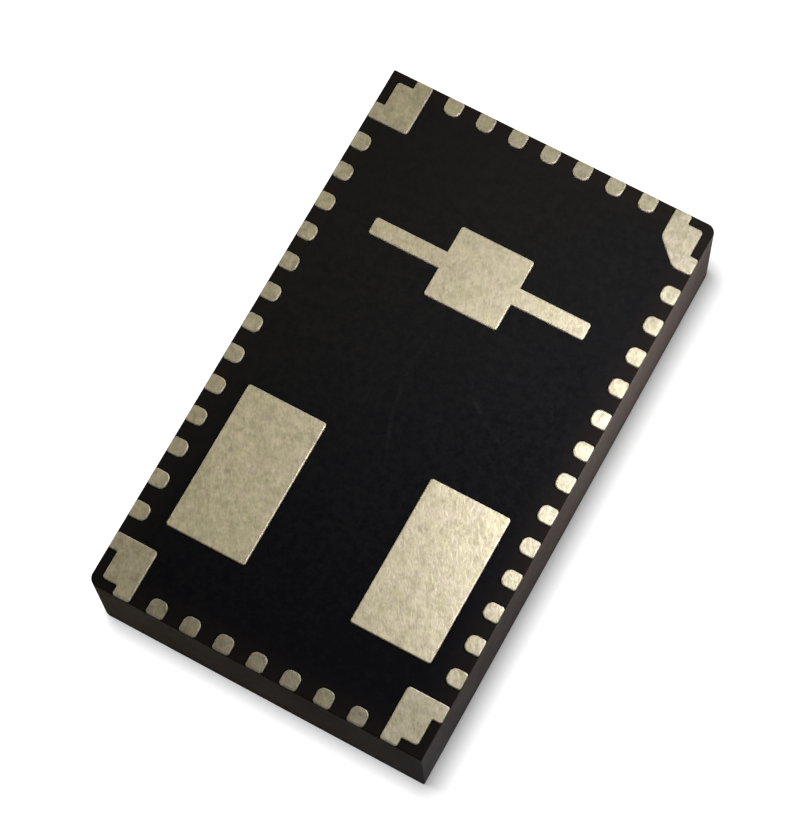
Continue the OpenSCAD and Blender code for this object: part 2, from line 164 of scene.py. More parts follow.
class Workpiece:
    """One solid on the bench, shaped with the edit mode's tools and with modifiers."""

    def __init__(self, thing: bpy.types.Object) -> None:
        """Take an object as it is."""
        self.thing = thing

    @classmethod
    def block(cls, name: str, low: Vector, high: Vector) -> "Workpiece":
        """Start a solid as a block between two corners.

        Args:
            name: The piece's name.
            low: Its lowest corner.
            high: Its highest corner.

        Returns:
            The new workpiece.
        """
        bpy.ops.object.select_all(action="DESELECT")
        bpy.ops.mesh.primitive_cube_add(size=1, location=(low + high) / 2)
        thing = bpy.context.active_object
        thing.name = thing.data.name = name
        thing.scale = high - low
        bpy.ops.object.transform_apply(location=True, rotation=True, scale=True)
        return cls(thing)

    def copy(self, name: str) -> "Workpiece":
        """Make a second solid like this one, with its own mesh.

        Args:
            name: The second solid's name.

        Returns:
            The second solid.
        """
        thing = self.thing.copy()
        thing.data = self.thing.data.copy()
        thing.name = thing.data.name = name
        bpy.context.scene.collection.objects.link(thing)
        return Workpiece(thing)

    def place(self, turn: float = 0.0, shift: Vector = Vector((0, 0, 0)),
              flip: Vector = Vector((1, 1, 1))) -> None:
        """Flip, turn and move the solid, and leave its object at the origin.

        Args:
            turn: The turn about Z, in degrees.
            shift: The move that follows it.
            flip: The scale that comes first, with -1 where the solid is mirrored.
        """
        take_up(self.thing)
        self.thing.scale = flip
        self.thing.rotation_euler.z = math.radians(turn)
        self.thing.location = shift
        bpy.ops.object.transform_apply(location=True, rotation=True, scale=True)
        if flip.x * flip.y * flip.z < 0:
            with self.edit(Pick.FACES, lambda face: True):
                bpy.ops.mesh.normals_make_consistent(inside=False)

    @contextmanager
    def edit(self, pick: Pick, test: Test) -> Iterator[None]:
        """Open the edit mode with the edges or faces selected that pass a test.

        Args:
            pick: Whether edges or faces are picked.
            test: Says which ones.

        Yields:
            Nothing: the tools act on the selection.
        """
        take_up(self.thing)
        bpy.ops.object.mode_set(mode="EDIT")
        bpy.ops.mesh.select_mode(type=pick.value)
        bpy.ops.mesh.select_all(action="DESELECT")
        mesh = bmesh.from_edit_mesh(self.thing.data)
        chosen = [e for e in (mesh.edges if pick is Pick.EDGES else mesh.faces) if test(e)]
        if not chosen:
            raise ValueError(f"{self.thing.name}: the tool finds nothing to work on")
        for element in chosen:
            element.select_set(True)
        bmesh.update_edit_mesh(self.thing.data)
        yield
        bpy.ops.object.mode_set(mode="OBJECT")

    def bevel(self, test: Test, width: float, segments: int) -> None:
        """Round the edges that pass a test, or chamfer them with one segment."""
        with self.edit(Pick.EDGES, test):
            bpy.ops.mesh.bevel(offset=width, segments=segments, profile=0.5, clamp_overlap=False)

    def split(self, point: Vector, normal: Vector) -> None:
        """Cut new edges into all faces along a plane."""
        with self.edit(Pick.FACES, lambda face: True):
            bpy.ops.mesh.bisect(plane_co=point, plane_no=normal)

    def extrude(self, test: Test, move: Vector) -> None:
        """Pull the faces that pass a test out by a move."""
        with self.edit(Pick.FACES, test):
            bpy.ops.mesh.extrude_region_move(TRANSFORM_OT_translate={"value": move})

    def flatten(self) -> None:
        """Drop the edges inside flat stretches."""
        with self.edit(Pick.FACES, lambda face: True):
            bpy.ops.mesh.dissolve_limited(angle_limit=math.radians(0.5))

    def clean(self) -> None:
        """Merge doubled points and turn the faces outwards."""
        with self.edit(Pick.FACES, lambda face: True):
            bpy.ops.mesh.remove_doubles(threshold=MERGE)
            bpy.ops.mesh.normals_make_consistent(inside=False)

    def combine(self, how: Join, others: list["Workpiece"]) -> None:
        """Add the other solids to this one or cut them out of it, and use them up.

        Args:
            how: Whether they are added or cut.
            others: The other solids.
        """
        tray = bpy.data.collections.new("tray")
        for other in others:
            tray.objects.link(other.thing)
        take_up(self.thing)
        bpy.ops.object.modifier_add(type="BOOLEAN")
        modifier = self.thing.modifiers[-1]
        modifier.operation = how.value
        modifier.operand_type = "COLLECTION"
        modifier.collection = tray
        modifier.solver = "EXACT"
        bpy.ops.object.modifier_apply(modifier=modifier.name)
        for other in others:
            bpy.data.meshes.remove(other.thing.data)
        bpy.data.collections.remove(tray)
        self.clean()

    def finish(self, node: str, slot: str, smooth: float) -> bpy.types.Object:
        """Smooth the solid, bring it to metres, and let it ride in its node's place.

        Args:
            node: The CAD node that it stands for.
            slot: The record's material slot; not used.
            smooth: The angle below which an edge is smoothed, in degrees.

        Returns:
            The finished object.
        """
        take_up(self.thing)
        bpy.ops.object.shade_smooth_by_angle(angle=math.radians(smooth))
        bpy.ops.object.modifier_add(type="WEIGHTED_NORMAL")
        modifier = self.thing.modifiers[-1]
        modifier.keep_sharp = True
        bpy.ops.object.modifier_apply(modifier=modifier.name)
        self.thing.scale = Vector((METRES, METRES, METRES))
        bpy.ops.object.transform_apply(location=True, rotation=True, scale=True)
        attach(self.thing, "root")
        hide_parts(node)
        log.info("%s: %d faces, for %s", self.thing.name, len(self.thing.data.polygons), node)
        return self.thing


class Tree:
    """A shader tree that nodes are added to from left to right."""

    STEP = 180

    def __init__(self, tree: bpy.types.NodeTree) -> None:
        """Start with an empty tree."""
        self.tree = tree
        self.tree.nodes.clear()

    def add(self, kind: str, links: dict[str | int, Socket] | None = None,
            values: dict[str | int, object] | None = None, **settings: object) -> bpy.types.Node:
        """Add a node.

        Args:
            kind: The node's type.
            links: The sockets that feed its inputs.
            values: The values of its other inputs.
            settings: The node's own settings.

        Returns:
            The node.
        """
        node = self.tree.nodes.new(kind)
        node.location = (self.STEP * len(self.tree.nodes), 0)
        for name, value in settings.items():
            setattr(node, name, value)
        for name, value in (values or {}).items():
            node.inputs[name].default_value = value
        for name, socket in (links or {}).items():
            self.tree.links.new(socket, node.inputs[name])
        return node

    def math(self, operation: str, first: object, second: object = 0.0,
             third: object = 0.0) -> Socket:
        """Add a Math node.

        Args:
            operation: The sum that it does.
            first: A socket or a number.
            second: A socket or a number.
            third: A socket or a number.

        Returns:
            The result's socket.
        """
        node = self.add("ShaderNodeMath", operation=operation)
        for place, value in enumerate((first, second, third)):
            if isinstance(value, Socket):
                self.tree.links.new(value, node.inputs[place])
            else:
                node.inputs[place].default_value = value
        return node.outputs[0]

    def spread(self, value: Socket, low: float, high: float,
               to_low: float = 0.0, to_high: float = 1.0) -> Socket:
        """Map one range smoothly to another.

        Args:
            value: The value.
            low: Where its range starts.
            high: Where it ends.
            to_low: The result at the start.
            to_high: The result at the end.

        Returns:
            The result's socket.
        """
        return self.add(
            "ShaderNodeMapRange", {"Value": value},
            {"From Min": low, "From Max": high, "To Min": to_low, "To Max": to_high},
            interpolation_type="SMOOTHSTEP",
        ).outputs[0]

    def blend(self, mask: object, first: object, second: object) -> Socket:
        """Mix two colours.

        Args:
            mask: How much of the second, as a socket or a number.
            first: A colour or its socket.
            second: A colour or its socket.

        Returns:
            The mixed colour's socket.
        """
        node = self.add("ShaderNodeMix", data_type="RGBA", blend_type="MIX")
        for socket, value in zip((node.inputs[0], node.inputs[6], node.inputs[7]), (mask, first, second)):
            if isinstance(value, Socket):
                self.tree.links.new(value, socket)
            else:
                socket.default_value = value if isinstance(value, float) else (*value, 1.0)
        return node.outputs[2]

    def parts(self, vector: Socket) -> bpy.types.NodeOutputs:
        """Split a vector into its X, Y and Z."""
        return self.add("ShaderNodeSeparateXYZ", {0: vector}).outputs

    def millimetres(self) -> Socket:
        """Give the place on the piece in millimetres."""
        place = self.add("ShaderNodeTexCoord").outputs["Object"]
        return self.add("ShaderNodeMapping", {"Vector": place}, {"Scale": [1 / METRES] * 3}).outputs[0]

    def facing(self) -> Socket:
        """Give how far a face looks along Z, from -1 to 1."""
        return self.parts(self.add("ShaderNodeTexCoord").outputs["Normal"])["Z"]

    def beyond(self, place: Socket, half_x: float, half_y: float) -> Socket:
        """Measure how far a place lies outside an upright rectangle about the middle.

        Args:
            place: The place on the piece.
            half_x: Half of the rectangle's width.
            half_y: Half of its length.

        Returns:
            The distance's socket, below 0 inside the rectangle.
        """
        parts = self.parts(place)
        return self.math("MAXIMUM", *(
            self.math("SUBTRACT", self.math("ABSOLUTE", parts[axis]), half)
            for axis, half in (("X", half_x), ("Y", half_y))
        ))


class Effect:
    """A shader node group that several finishes share, with its own inputs and outputs."""

    def __init__(self, name: str, inputs: dict[str, float], outputs: list[str]) -> None:
        """Open the group with a place input, the named numbers and the named masks.

        Args:
            name: The group's name.
            inputs: Each number's name and usual value.
            outputs: Each mask's name.
        """
        self.group = bpy.data.node_groups.new(name, "ShaderNodeTree")
        sockets = self.group.interface
        sockets.new_socket("Place", in_out="INPUT", socket_type="NodeSocketVector")
        for label, value in inputs.items():
            sockets.new_socket(label, in_out="INPUT", socket_type="NodeSocketFloat").default_value = value
        for label in outputs:
            sockets.new_socket(label, in_out="OUTPUT", socket_type="NodeSocketFloat")
        self.tree = Tree(self.group)
        self.given = self.tree.add("NodeGroupInput").outputs

    def close(self, **masks: Socket) -> bpy.types.NodeTree:
        """Link the masks to the group's outputs and give the group."""
        self.tree.add("NodeGroupOutput", {label.replace("_", " "): mask for label, mask in masks.items()})
        return self.group


class Effects:
    """The effects, built once and placed in each finish with its own values."""

    DRAW_TURN = math.radians(-28.4)

    def __init__(self) -> None:
        """Build every group."""
        self.streaks = self._streaks()
        self.mottle = self._mottle()
        self.specks = self._specks()
        self.scuff = self._scuff()

    def _streaks(self) -> bpy.types.NodeTree:
        """Draw short fine lines that run slantwise over the lands, as brushed metal has.

        Returns:
            The group, with the mask Streaks.
        """
        effect = Effect("drawn_streaks", {"Fineness": 12.0, "Stretch": 0.25}, ["Streaks"])
        tree, given = effect.tree, effect.given
        turned = tree.add(
            "ShaderNodeMapping", {"Vector": given["Place"]}, {"Rotation": (0, 0, self.DRAW_TURN)}
        ).outputs[0]
        parts = tree.parts(turned)
        along = tree.math("MULTIPLY", parts["Y"], given["Stretch"])
        drawn = tree.add("ShaderNodeCombineXYZ", {"X": parts["X"], "Y": along, "Z": parts["Z"]}).outputs[0]
        noise = tree.add(
            "ShaderNodeTexNoise", {"Vector": drawn, "Scale": given["Fineness"]},
            {"Detail": 3.0, "Roughness": 0.55, "Distortion": 0.9},
        ).outputs[0]
        return effect.close(Streaks=tree.spread(noise, 0.36, 0.64))

    def _mottle(self) -> bpy.types.NodeTree:
        """Lay soft clouds, coarse and fine together.

        Returns:
            The group, with the mask Clouds.
        """
        effect = Effect("mottle", {"Coarse": 2.0, "Fine": 9.0}, ["Clouds"])
        tree, given = effect.tree, effect.given
        coarse, fine = (
            tree.add(
                "ShaderNodeTexNoise", {"Vector": given["Place"], "Scale": given[label]},
                {"Detail": 4.0, "Roughness": 0.55},
            ).outputs[0]
            for label in ("Coarse", "Fine")
        )
        mixed = tree.math("MULTIPLY_ADD", coarse, 0.6, tree.math("MULTIPLY", fine, 0.4))
        return effect.close(Clouds=tree.spread(mixed, 0.34, 0.66))

    def _specks(self) -> bpy.types.NodeTree:
        """Scatter small round grains of filler, each with its own strength.

        Returns:
            The group, with the masks Specks, for the chosen share of the grains, and Grain, for all.
        """
        effect = Effect("filler_specks", {"Fineness": 20.0, "Share": 0.3}, ["Specks", "Grain"])
        tree, given = effect.tree, effect.given
        cells = tree.add("ShaderNodeTexVoronoi", {"Vector": given["Place"], "Scale": given["Fineness"]})
        strength = tree.add("ShaderNodeSeparateColor", {0: cells.outputs["Color"]}).outputs[0]
        chosen = tree.math("LESS_THAN", strength, given["Share"])
        dot = tree.spread(cells.outputs["Distance"], 0.45, 0.15)
        return effect.close(Specks=tree.math("MULTIPLY", dot, chosen), Grain=dot)

    def _scuff(self) -> bpy.types.NodeTree:
        """Draw one faint curved scratch through the place's origin, bent towards -X and broken by a cloud.

        Returns:
            The group, with the mask Scuff.
        """
        effect = Effect("scuff", {"Radius": 5.0, "Reach": 1.0, "Width": 0.08}, ["Scuff"])
        tree, given = effect.tree, effect.given
        behind = tree.math("MULTIPLY", given["Radius"], -1.0)
        hub = tree.add("ShaderNodeCombineXYZ", {"X": behind}).outputs[0]
        away = tree.add("ShaderNodeVectorMath", {0: given["Place"], 1: hub}, operation="DISTANCE")
        off = tree.math("ABSOLUTE", tree.math("SUBTRACT", away.outputs["Value"], given["Radius"]))
        line = tree.spread(tree.math("DIVIDE", off, given["Width"]), 1.0, 0.0)
        along = tree.math("ABSOLUTE", tree.parts(given["Place"])["Y"])
        within = tree.spread(tree.math("DIVIDE", along, given["Reach"]), 1.0, 0.6)
        cloud = tree.add("ShaderNodeTexNoise", {"Vector": given["Place"]}, {"Scale": 2.2}).outputs[0]
        broken = tree.spread(cloud, 0.4, 0.6, 0.2, 1.0)
        return effect.close(Scuff=tree.math("MULTIPLY", line, tree.math("MULTIPLY", within, broken)))


@dataclass(frozen=True)
class Scuff:
    """Where a scratch lies on the face, how far it is turned, how wide its curve is and how long it runs."""

    middle: Pair
    turn: float
    radius: float
    reach: float


class Finish:
    """A material that is built on one Principled BSDF."""

    def __init__(self, name: str) -> None:
        """Open the material with an empty tree.

        Args:
            name: The material's name.
        """
        self.material = bpy.data.materials.new(name)
        self.material.use_nodes = True
        self.tree = Tree(self.material.node_tree)

    def use(self, effect: bpy.types.NodeTree, place: Socket,
            **values: float) -> bpy.types.NodeOutputs:
        """Place an effect.

        Args:
            effect: Its node group.
            place: The place on the piece.
            values: The group's numbers.

        Returns:
            The effect's masks.
        """
        node = self.tree.add("ShaderNodeGroup", node_tree=effect)
        self.tree.tree.links.new(place, node.inputs["Place"])
        for label, value in values.items():
            node.inputs[label].default_value = value
        return node.outputs

    def bump(self, height: Socket, depth: float) -> Socket:
        """Give the normal of a surface with that relief, whose depth is in millimetres."""
        return self.tree.add(
            "ShaderNodeBump", {"Height": height}, {"Strength": 1.0, "Distance": depth * METRES}
        ).outputs[0]

    def close(self, links: dict[str, Socket], values: dict[str, float]) -> bpy.types.Material:
        """Add the shader and the output.

        Args:
            links: What feeds the shader's inputs.
            values: The shader's own uniform values.

        Returns:
            The material.
        """
        shader = self.tree.add("ShaderNodeBsdfPrincipled", links, values)
        self.tree.add("ShaderNodeOutputMaterial", {"Surface": shader.outputs[0]})
        return self.material


@dataclass(frozen=True)
class MatteTin:
    """Matte tin on the lands: mottled and streaked, with a painted highlight on the rolled rim, and darkened
    by painted shade on the small lands.
    """

    half_width: float
    half_length: float
    ring: Pair = (0.7, 1.6)
    row: Pair = (1.3, 0.6)
    # Painted shade: the edge lands and the row at -Y are darkened towards black.
    ring_shade: float = 0.2
    row_shade: float = 0.46
    dark: Colour = (0.28, 0.254, 0.146)
    light: Colour = (0.83, 0.748, 0.497)
    green: Colour = (0.56, 0.53, 0.28)
    pink: Colour = (0.69, 0.565, 0.42)
    # The rim colour is a painted highlight on the rolled rim.
    rim: Colour = (0.68, 0.62, 0.48)
    painted_shade_colour: Colour = (0.0, 0.0, 0.0)
    grain_share: float = 0.34
    streak_share: float = 0.32
    cloud_share: float = 0.34
    green_share: float = 0.4
    pink_share: float = 0.3
    rim_highlight_share: float = 0.9
    rim_facing: Pair = (0.985, 0.8)
    rim_roughness: float = 0.25
    roughest: float = 0.58
    smoothest: float = 0.46
    relief: float = 0.0035

    def _painted_shade(self, tree: Tree, place: Socket) -> Socket:
        """Give the painted shade on the tin.

        Args:
            tree: The material's tree.
            place: The place on the piece.

        Returns:
            0 on the large lands, more on the ring of edge lands, and most on the row at -Y.
        """
        parts = tree.parts(place)
        edge = tree.beyond(place, self.half_width - self.ring[0], self.half_length - self.ring[1])
        ring = tree.math("MULTIPLY", tree.math("GREATER_THAN", edge, 0.0), self.ring_shade)
        low = tree.math("LESS_THAN", parts["Y"], self.row[1] - self.half_length)
        inner = tree.math("LESS_THAN", tree.math("ABSOLUTE", parts["X"]), self.half_width - self.row[0])
        return tree.math("MULTIPLY_ADD", tree.math("MULTIPLY", low, inner), self.row_shade - self.ring_shade, ring)

    def make(self, effects: Effects) -> bpy.types.Material:
        """Build the material.

        Args:
            effects: The shared effects.

        Returns:
            The material.
        """
        finish = Finish("matte_tin")
        tree = finish.tree
        place = tree.millimetres()
        streaks = finish.use(effects.streaks, place, Fineness=13.0, Stretch=0.36)["Streaks"]
        grain = finish.use(effects.mottle, place, Coarse=5.0, Fine=11.0)["Clouds"]
        clouds = finish.use(effects.mottle, place, Coarse=2.4, Fine=5.5)["Clouds"]
        hue = finish.use(effects.mottle, place, Coarse=3.1, Fine=8.0)["Clouds"]
        shade = tree.math("MULTIPLY", streaks, self.streak_share)
        shade = tree.math("MULTIPLY_ADD", grain, self.grain_share, shade)
        shade = tree.math("MULTIPLY_ADD", clouds, self.cloud_share, shade)
        greenish = tree.math("MULTIPLY", hue, self.green_share)
        pinkish = tree.math("MULTIPLY_ADD", hue, -self.pink_share, self.pink_share)
        plated = tree.blend(shade, self.dark, self.light)
        plated = tree.blend(pinkish, tree.blend(greenish, plated, self.green), self.pink)
        rough = tree.spread(shade, 0.0, 1.0, self.roughest, self.smoothest)
        rim = tree.spread(tree.facing(), *self.rim_facing)
        # Painted highlight: the rolled rim, broken by the grain, is blended towards the lighter rim colour.
        rim_highlight = tree.math("MULTIPLY", tree.math("MULTIPLY", rim, grain), self.rim_highlight_share)
        colour = tree.blend(rim_highlight, plated, self.rim)
        return finish.close(
            {
                # Painted shade darkens the edge lands, and the row at -Y most.
                "Base Color": tree.blend(self._painted_shade(tree, place), colour, self.painted_shade_colour),
                "Roughness": tree.math("MULTIPLY_ADD", rim, self.rim_roughness, rough),
                "Normal": finish.bump(shade, self.relief),
            },
            {"Metallic": 1.0},
        )


@dataclass(frozen=True)
class RolledCopper:
    """Bare rolled copper, where the leadframe lies inside the moulding."""

    dark: Colour = (0.50, 0.22, 0.12)
    light: Colour = (0.72, 0.36, 0.22)
    roughest: float = 0.45
    smoothest: float = 0.3
    relief: float = 0.002

    def make(self, effects: Effects) -> bpy.types.Material:
        """Build the material.

        Args:
            effects: The shared effects.

        Returns:
            The material.
        """
        finish = Finish("rolled_copper")
        tree = finish.tree
        place = tree.millimetres()
        streaks = finish.use(effects.streaks, place, Fineness=8.0, Stretch=0.1)["Streaks"]
        return finish.close(
            {
                "Base Color": tree.blend(streaks, self.dark, self.light),
                "Roughness": tree.spread(streaks, 0.0, 1.0, self.roughest, self.smoothest),
                "Normal": finish.bump(streaks, self.relief),
            },
            {"Metallic": 1.0},
        )


@dataclass(frozen=True)
class Moulding:
    """Black moulding compound: a dark matte face, and lighter sawn walls with saw marks and cut filler."""

    half_width: float
    half_length: float
    face: Colour = (0.0045, 0.0044, 0.0048)
    # The lighter face colour, which both the clouds and the painted sheen reach.
    face_light: Colour = (0.0108, 0.0102, 0.0080)
    wall: Colour = (0.103, 0.081, 0.060)
    wall_light: Colour = (0.139, 0.110, 0.083)
    border: Colour = (0.0130, 0.0098, 0.0070)
    speck: Colour = (0.20, 0.17, 0.15)
    # The way along which the face's painted sheen rises.
    sheen_way: Pair = (-0.5, 0.45)
    skin: float = 0.03
    border_width: float = 1.0
    # Painted shade: the walls darken towards the foot, below this height.
    foot_shade_height: float = 0.5
    border_share: float = 0.65
    scuff_share: float = 0.045
    # Painted light: the downward-facing cap is lightened towards the wall colour.
    cap_light_share: float = 0.3
    wall_share: float = 0.5
    cloud_share: float = 0.12
    grain_share: float = 0.46
    grain_level: float = -0.29
    sheen_reach: Pair = (-4.0, 5.0)
    # Painted shade: the walls darken towards the corner at +X -Y over this reach of the heading.
    wall_shade_reach: Pair = (0.0, -3.6)
    upright_facing: Pair = (0.85, 0.35)
    cap_facing: Pair = (-0.5, -0.9)
    saw_scale: Point = (0.5, 0.5, 14.0)
    roughest: float = 0.75
    smoothest: float = 0.62
    relief: float = 0.004
    scuffs: tuple[Scuff, ...] = (Scuff((-0.24, -0.13), -168, 5.3, 1.9), Scuff((1.66, 0.58), -127, 3.1, 1.2))

    def _wall_mask(self, tree: Tree, place: Socket) -> Socket:
        """Find the four sawn walls.

        Args:
            tree: The material's tree.
            place: The place on the piece.

        Returns:
            1 on the walls and 0 elsewhere, pockets included.
        """
        edge = tree.beyond(place, self.half_width - 2 * self.skin, self.half_length - 2 * self.skin)
        upright = tree.spread(tree.math("ABSOLUTE", tree.facing()), *self.upright_facing)
        return tree.math("MULTIPLY", tree.spread(edge, 0.0, self.skin), upright)

    def _heading(self, tree: Tree, place: Socket) -> Socket:
        """Give how far a place lies towards the corner at -X +Y, where the face's painted sheen is strongest
        and the walls' painted shade weakest.
        """
        product = tree.add(
            "ShaderNodeVectorMath", {0: place}, {1: (*self.sheen_way, 0.0)}, operation="DOT_PRODUCT"
        )
        return product.outputs["Value"]

    def _scratched(self, finish: Finish, effects: Effects, place: Socket) -> Socket:
        """Lay the scratches on the face.

        Args:
            finish: The material.
            effects: The shared effects.
            place: The place on the piece.

        Returns:
            How much each place is scratched.
        """
        total = 0.0
        for scuff in self.scuffs:
            turn = -math.radians(scuff.turn)
            shift = Matrix.Rotation(turn, 2) @ -Vector(scuff.middle)
            local = finish.tree.add(
                "ShaderNodeMapping", {"Vector": place},
                {"Location": (*shift, 0), "Rotation": (0, 0, turn), "Scale": (1, 1, 0)},
            ).outputs[0]
            line = finish.use(effects.scuff, local, Radius=scuff.radius, Reach=scuff.reach)["Scuff"]
            total = finish.tree.math("ADD", line, total)
        return total

    def _face_colour(self, finish: Finish, effects: Effects, place: Socket,
                     clouds: Socket, heading: Socket) -> Socket:
        """Colour the two large faces: cloudy, with a painted sheen towards the corner at -X +Y, browner at
        the edge, scratched, and lighter on the cap as painted light.

        Args:
            finish: The material.
            effects: The shared effects.
            place: The place on the piece.
            clouds: The clouds' mask.
            heading: How far a place lies towards the corner at -X +Y, where the painted sheen is strongest.

        Returns:
            The colour.
        """
        tree = finish.tree
        grain = finish.use(effects.mottle, place, Coarse=5.0, Fine=14.0)["Clouds"]
        grainy = tree.math("MULTIPLY_ADD", grain, self.grain_share, self.grain_level)
        cloudy = tree.math("MULTIPLY_ADD", clouds, self.cloud_share, grainy)
        # Painted sheen: the face grows lighter towards the corner at -X +Y.
        cloudy_and_sheen = tree.math("ADD", cloudy, tree.spread(heading, *self.sheen_reach))
        edge = tree.beyond(place, self.half_width - self.border_width, self.half_length - self.border_width)
        border = tree.spread(edge, 0.0, self.border_width)
        scuffs = self._scratched(finish, effects, place)
        # Painted light: the downward-facing cap is lightened towards the wall colour.
        under = tree.spread(tree.facing(), *self.cap_facing)
        face = tree.blend(cloudy_and_sheen, self.face, self.face_light)
        face = tree.blend(tree.math("MULTIPLY", border, self.border_share), face, self.border)
        face = tree.blend(tree.math("MULTIPLY", scuffs, self.scuff_share), face, self.wall)
        return tree.blend(tree.math("MULTIPLY", under, self.cap_light_share), face, self.wall)

    def _wall_colour(self, tree: Tree, place: Socket, marks: Socket,
                     specks: Socket, heading: Socket) -> Socket:
        """Colour the sawn walls: streaky and specked, with painted shade at the foot and away from the corner
        at -X +Y.

        Args:
            tree: The material's tree.
            place: The place on the piece.
            marks: The saw marks.
            specks: The cut grains of filler.
            heading: How far a place lies towards the corner at -X +Y; the painted shade deepens away from it.

        Returns:
            The colour.
        """
        # Painted shade: the walls are darkened towards the face colour at the foot and towards the corner at
        # +X -Y.
        foot = tree.spread(tree.parts(place)["Z"], self.foot_shade_height, 0.0)
        away = tree.spread(heading, *self.wall_shade_reach)
        wall = tree.blend(tree.spread(marks, 0.35, 0.65), self.wall, self.wall_light)
        for mask, colour in ((specks, self.speck), (foot, self.face), (away, self.face)):
            wall = tree.blend(tree.math("MULTIPLY", mask, self.wall_share), wall, colour)
        return wall

    def make(self, effects: Effects) -> bpy.types.Material:
        """Build the material.

        Args:
            effects: The shared effects.

        Returns:
            The material.
        """
        finish = Finish("moulding_compound")
        tree = finish.tree
        place = tree.millimetres()
        sawn = tree.add("ShaderNodeMapping", {"Vector": place}, {"Scale": self.saw_scale}).outputs[0]
        marks = tree.add(
            "ShaderNodeTexNoise", {"Vector": sawn}, {"Scale": 1.5, "Detail": 4.0, "Roughness": 0.6}
        ).outputs[0]
        clouds = finish.use(effects.mottle, place, Coarse=0.6, Fine=7.0)["Clouds"]
        specks = finish.use(effects.specks, place, Fineness=16.0, Share=0.25)
        heading = self._heading(tree, place)
        wall = self._wall_mask(tree, place)
        face_colour = self._face_colour(finish, effects, place, clouds, heading)
        wall_colour = self._wall_colour(tree, place, marks, specks["Specks"], heading)
        relief = tree.math("MULTIPLY_ADD", specks["Grain"], 0.5, tree.math("MULTIPLY", marks, wall))
        return finish.close(
            {
                "Base Color": tree.blend(wall, face_colour, wall_colour),
                "Roughness": tree.spread(clouds, 0.0, 1.0, self.roughest, self.smoothest),
                "Normal": finish.bump(relief, self.relief),
            },
            {"Specular IOR Level": 0.003},
        )


@dataclass(frozen=True)
class Plain:
    """A finish of one substance inside the moulding, mottled and grained at its own scale."""

    name: str
    dark: Colour
    light: Colour
    metallic: float
    smoothest: float
    roughest: float
    coarse: float
    fine: float
    relief: float

    def make(self, effects: Effects) -> bpy.types.Material:
        """Build the material.

        Args:
            effects: The shared effects.

        Returns:
            The material.
        """
        finish = Finish(self.name)
        tree = finish.tree
        place = tree.millimetres()
        clouds = finish.use(effects.mottle, place, Coarse=self.coarse, Fine=self.fine)["Clouds"]
        grain = finish.use(effects.specks, place, Fineness=2 * self.fine, Share=0.5)
        shade = tree.math("MULTIPLY_ADD", grain["Specks"], 0.3, clouds)
        return finish.close(
            {
                "Base Color": tree.blend(shade, self.dark, self.light),
                "Roughness": tree.spread(clouds, 0.0, 1.0, self.roughest, self.smoothest),
                "Normal": finish.bump(grain["Grain"], self.relief),
            },
            {"Metallic": self.metallic},
        )


@dataclass(frozen=True)
class ChipCeramic:
    """A chip part: fine ceramic between two tinned ends."""

    name: str
    body: Colour
    body_light: Colour
    middle: Vector
    turned: bool
    ends_from: float = 0.25
    tin: Colour = (0.62, 0.60, 0.56)
    roughest: float = 0.5
    smoothest: float = 0.35
    relief: float = 0.001

    def make(self, effects: Effects) -> bpy.types.Material:
        """Build the material.

        Args:
            effects: The shared effects.

        Returns:
            The material.
        """
        finish = Finish(self.name)
        tree = finish.tree
        place = tree.millimetres()
        own = tree.add("ShaderNodeMapping", {"Vector": place}, {"Location": -self.middle}).outputs[0]
        out = tree.math("ABSOLUTE", tree.parts(own)["Y" if self.turned else "X"])
        ends = tree.math("GREATER_THAN", out, self.ends_from)
        clouds = finish.use(effects.mottle, place, Coarse=6.0, Fine=24.0)["Clouds"]
        grain = finish.use(effects.specks, place, Fineness=40.0, Share=0.5)["Grain"]
        ceramic = tree.blend(clouds, self.body, self.body_light)
        return finish.close(
            {
                "Base Color": tree.blend(ends, ceramic, self.tin),
                "Metallic": ends,
                "Roughness": tree.spread(clouds, 0.0, 1.0, self.roughest, self.smoothest),
                "Normal": finish.bump(grain, self.relief),
            },
            {},
        )


@dataclass(frozen=True)
class LandGrid:
    """Where the edge lands lie: 1 to 44, from the chamfered corner down the +X side and on round."""

    half_width: float
    half_length: float
    pitch: float = 0.9
    long_lands: int = 13
    short_lands: int = 7

    @property
    def half_turn(self) -> int:
        """Give how many lands one long and one short side hold together, corners counted once."""
        return self.long_lands + self.short_lands + 2

    @property
    def corners(self) -> list[int]:
        """Give the corner lands' numbers."""
        second = self.long_lands + 2
        return [1, second, 1 + self.half_turn, second + self.half_turn]

    def side(self, number: int) -> Side:
        """Give the side that a land is on, which begins with its corner land."""
        return Side(sum(number >= corner for corner in self.corners) - 1)

    def reach(self, side: Side) -> float:
        """Give how far a side lies from the body's middle."""
        return self.half_width if side in (Side.RIGHT, Side.LEFT) else self.half_length

    def along(self, number: int) -> float:
        """Give a land's place along its side.

        Args:
            number: The land's number.

        Returns:
            The distance from the side's middle, in the side's own frame.
        """
        middle = 1 + (self.long_lands + 1) / 2
        return (middle + self.half_turn / 2 * self.side(number) - number) * self.pitch

    def turned(self, side: Side, out: float, along: float) -> Vector:
        """Turn a point of a side's own frame, which has +X out of the body, into the body's frame."""
        return Matrix.Rotation(math.radians(-90 * side), 2) @ Vector((out, along))

    def strip(self, number: int, tip: float, root: float, width: float) -> Rect:
        """Give the rectangle that runs in from an edge land.

        Args:
            number: The land's number.
            tip: How far the inner end lies from the body's middle.
            root: How far the outer end lies from it.
            width: The strip's width.

        Returns:
            Its lowest and highest corner.
        """
        side, along = self.side(number), self.along(number)
        a = self.turned(side, tip, along - width / 2)
        b = self.turned(side, root, along + width / 2)
        return (min(a.x, b.x), min(a.y, b.y)), (max(a.x, b.x), max(a.y, b.y))


